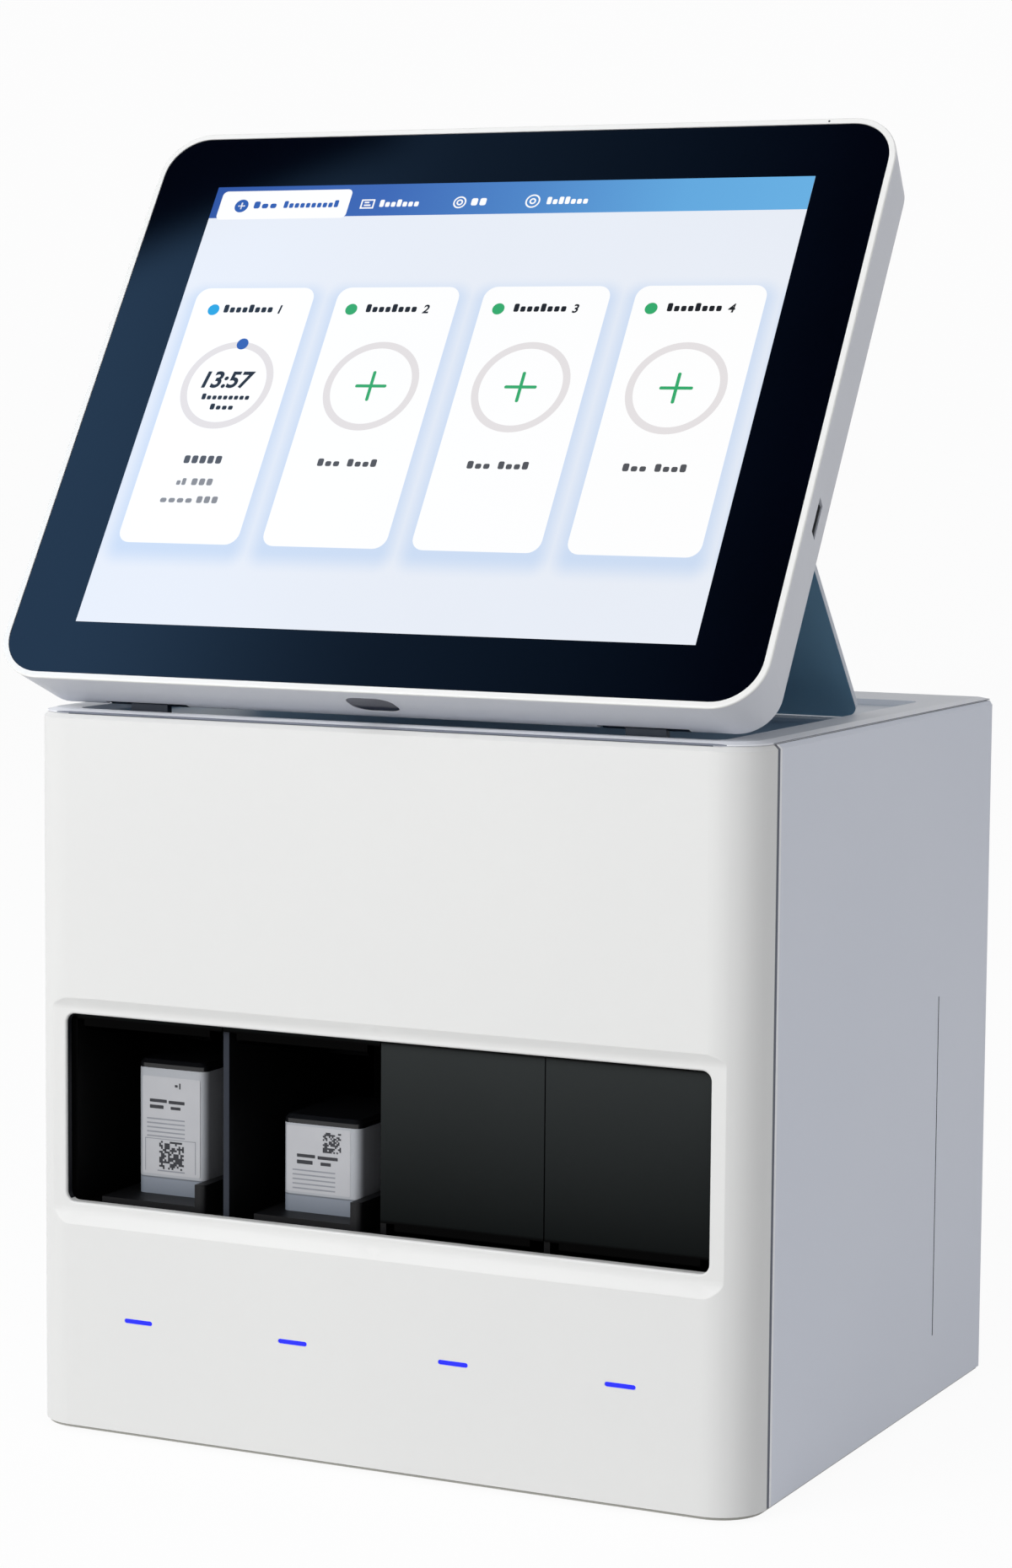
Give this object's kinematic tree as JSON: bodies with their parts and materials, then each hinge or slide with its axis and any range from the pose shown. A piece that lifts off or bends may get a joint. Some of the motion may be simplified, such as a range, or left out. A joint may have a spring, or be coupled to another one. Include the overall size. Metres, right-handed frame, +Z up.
{
  "type": "molecular point-of-care analyzer",
  "caption": "Benchtop analyzer with a row of cartridge bays behind sliding doors, and a tilting touch display on top held by a folding stand.",
  "frame": {"origin": "On the table under the middle of the bounding box.", "axes": "+X to the right as seen from the front, +Y to the rear, +Z up."},
  "size_m": [0.296, 0.2538, 0.475],
  "materials": {
    "white_cover": "satin moulded white",
    "grey_panel": "fine texture powder paint",
    "top_grey": "satin moulded light grey",
    "zinc_sheet": "plated sheet steel",
    "black_plastic": "black moulding",
    "rubber_black": "soft rubber",
    "lamp_blue": "tinted light pipe",
    "board_green": "solder mask",
    "aluminium_block": "machined",
    "steel_rod": "ground and polished",
    "motor_grey": "black can",
    "tray_grey": "dark moulding",
    "door_smoke": "dark smoked sheet",
    "cartridge_white": "white moulding",
    "cap_black": "black moulding",
    "bezel_white": "gloss white",
    "glass_dark": "printed cover glass",
    "shell_grey": "satin grey",
    "window_dark": "dark gloss",
    "stand_teal": "dark teal paint",
    "lcd_black": "panel"
  },
  "bodies": {
    "housing": {"base_plate": "zinc_sheet", "rubber_feet": "rubber_black", "front_cover": "white_cover", "side_panel_left": "grey_panel", "side_panel_right": "grey_panel", "top_cover": "top_grey", "rear_panel": "grey_panel", "rear_screws": "steel_rod", "chassis_deck": "zinc_sheet", "bay_housing": "black_plastic", "door_bridge": "zinc_sheet", "door_rods": "steel_rod", "door_motors": "motor_grey", "tray_motors": "motor_grey", "heater_blocks": "aluminium_block", "optics_modules": "black_plastic", "lamp_guides": "lamp_blue", "lamp_board": "board_green", "main_board": "board_green", "rear_ports": "zinc_sheet", "power_supply": "aluminium_block", "power_inlet": "black_plastic", "switch_body": "black_plastic", "fan_frame": "black_plastic", "fan_guard": "steel_rod", "hinge_brackets": "zinc_sheet", "hinge_pins": "steel_rod"},
    "display": {"display_bezel": "bezel_white", "display_glass": "glass_dark", "lcd_panel": "lcd_black", "display_sheet": "aluminium_block", "display_board": "board_green", "display_rear_shell": "shell_grey", "scanner_window": "window_dark", "display_port": "zinc_sheet", "hinge_leaves": "zinc_sheet", "stand_pins": "steel_rod"},
    "stand": {"stand_plate": "stand_teal"},
    "fan_rotor_body": {"fan_rotor": "black_plastic"},
    "rocker": {"power_rocker": "black_plastic"},
    "door_body_1": {"door_1": "door_smoke"},
    "door_screw_body_1": {"door_screw_1": "steel_rod"},
    "tray_body_1": {"tray_1": "tray_grey", "cartridge_1": "cartridge_white", "cartridge_cap_1": "cap_black"},
    "tray_screw_body_1": {"tray_screw_1": "steel_rod"},
    "door_body_2": {"door_2": "door_smoke"},
    "door_screw_body_2": {"door_screw_2": "steel_rod"},
    "tray_body_2": {"tray_2": "tray_grey", "cartridge_2": "cartridge_white", "cartridge_cap_2": "cap_black"},
    "tray_screw_body_2": {"tray_screw_2": "steel_rod"},
    "door_body_3": {"door_3": "door_smoke"},
    "door_screw_body_3": {"door_screw_3": "steel_rod"},
    "tray_body_3": {"tray_3": "tray_grey"},
    "tray_screw_body_3": {"tray_screw_3": "steel_rod"},
    "door_body_4": {"door_4": "door_smoke"},
    "door_screw_body_4": {"door_screw_4": "steel_rod"},
    "tray_body_4": {"tray_4": "tray_grey"},
    "tray_screw_body_4": {"tray_screw_4": "steel_rod"}
  },
  "joints": [
    {"name": "door_1_slide", "type": "slide", "parent": "housing", "child": "door_body_1", "axis": [0, 0, 1], "range_m": [-0.0625, 0]},
    {"name": "door_1_screw_turn", "type": "hinge", "parent": "housing", "child": "door_screw_body_1", "pos_m": [-0.08625, -0.09968, 0.2027], "axis": [0, 0, 1], "range_deg": [-2814.5, 2]},
    {"name": "tray_1_slide", "type": "slide", "parent": "housing", "child": "tray_body_1", "axis": [0, 1, 0], "range_m": [0, 0.022]},
    {"name": "tray_1_screw_turn", "type": "hinge", "parent": "housing", "child": "tray_screw_body_1", "pos_m": [-0.06875, -0.01478, 0.0922], "axis": [0, 1, 0], "range_deg": [-2, 1982]},
    {"name": "door_2_slide", "type": "slide", "parent": "housing", "child": "door_body_2", "axis": [0, 0, 1], "range_m": [-0.0625, 0]},
    {"name": "door_2_screw_turn", "type": "hinge", "parent": "housing", "child": "door_screw_body_2", "pos_m": [-0.02275, -0.09968, 0.2027], "axis": [0, 0, 1], "range_deg": [-2814.5, 2]},
    {"name": "tray_2_slide", "type": "slide", "parent": "housing", "child": "tray_body_2", "axis": [0, 1, 0], "range_m": [0, 0.022]},
    {"name": "tray_2_screw_turn", "type": "hinge", "parent": "housing", "child": "tray_screw_body_2", "pos_m": [-0.00525, -0.01478, 0.0922], "axis": [0, 1, 0], "range_deg": [-2, 1982]},
    {"name": "door_3_slide", "type": "slide", "parent": "housing", "child": "door_body_3", "axis": [0, 0, 1], "range_m": [0, 0.0625]},
    {"name": "door_3_screw_turn", "type": "hinge", "parent": "housing", "child": "door_screw_body_3", "pos_m": [0.04075, -0.09968, 0.2027], "axis": [0, 0, 1], "range_deg": [-2, 2814.5]},
    {"name": "tray_3_slide", "type": "slide", "parent": "housing", "child": "tray_body_3", "axis": [0, 1, 0], "range_m": [-0.022, 0]},
    {"name": "tray_3_screw_turn", "type": "hinge", "parent": "housing", "child": "tray_screw_body_3", "pos_m": [0.05825, -0.01478, 0.0922], "axis": [0, 1, 0], "range_deg": [-1982, 2]},
    {"name": "door_4_slide", "type": "slide", "parent": "housing", "child": "door_body_4", "axis": [0, 0, 1], "range_m": [0, 0.0625]},
    {"name": "door_4_screw_turn", "type": "hinge", "parent": "housing", "child": "door_screw_body_4", "pos_m": [0.10425, -0.09968, 0.2027], "axis": [0, 0, 1], "range_deg": [-2, 2814.5]},
    {"name": "tray_4_slide", "type": "slide", "parent": "housing", "child": "tray_body_4", "axis": [0, 1, 0], "range_m": [-0.022, 0]},
    {"name": "tray_4_screw_turn", "type": "hinge", "parent": "housing", "child": "tray_screw_body_4", "pos_m": [0.12175, -0.01478, 0.0922], "axis": [0, 1, 0], "range_deg": [-1982, 2]},
    {"name": "fan_turn", "type": "hinge", "parent": "housing", "child": "fan_rotor_body", "pos_m": [-0.04, 0.11002, 0.1807], "axis": [0, 1, 0], "continuous": true},
    {"name": "rocker_tilt", "type": "hinge", "parent": "housing", "child": "rocker", "pos_m": [0.092, 0.12202, 0.0867], "axis": [1, 0, 0], "range_deg": [0, 16]},
    {"name": "display_tilt", "type": "hinge", "parent": "housing", "child": "display", "pos_m": [0, -0.10038, 0.2683], "axis": [-1, 0, 0], "range_deg": [0, 57.5]},
    {"name": "stand_fold", "type": "hinge", "parent": "display", "child": "stand", "pos_m": [0, -0.04489, 0.34926], "axis": [1, 0, 0], "range_deg": [0, 107.5]}
  ],
  "couplings": [
    {"joint": "door_1_screw_turn", "follows": "door_1_slide", "rad_per_m": 785.4},
    {"joint": "tray_1_screw_turn", "follows": "tray_1_slide", "rad_per_m": 1570.8},
    {"joint": "door_2_screw_turn", "follows": "door_2_slide", "rad_per_m": 785.4},
    {"joint": "tray_2_screw_turn", "follows": "tray_2_slide", "rad_per_m": 1570.8},
    {"joint": "door_3_screw_turn", "follows": "door_3_slide", "rad_per_m": 785.4},
    {"joint": "tray_3_screw_turn", "follows": "tray_3_slide", "rad_per_m": 1570.8},
    {"joint": "door_4_screw_turn", "follows": "door_4_slide", "rad_per_m": 785.4},
    {"joint": "tray_4_screw_turn", "follows": "tray_4_slide", "rad_per_m": 1570.8},
    {"joint": "stand_fold", "follows": "display_tilt", "ratio": 1.8696}
  ]
}
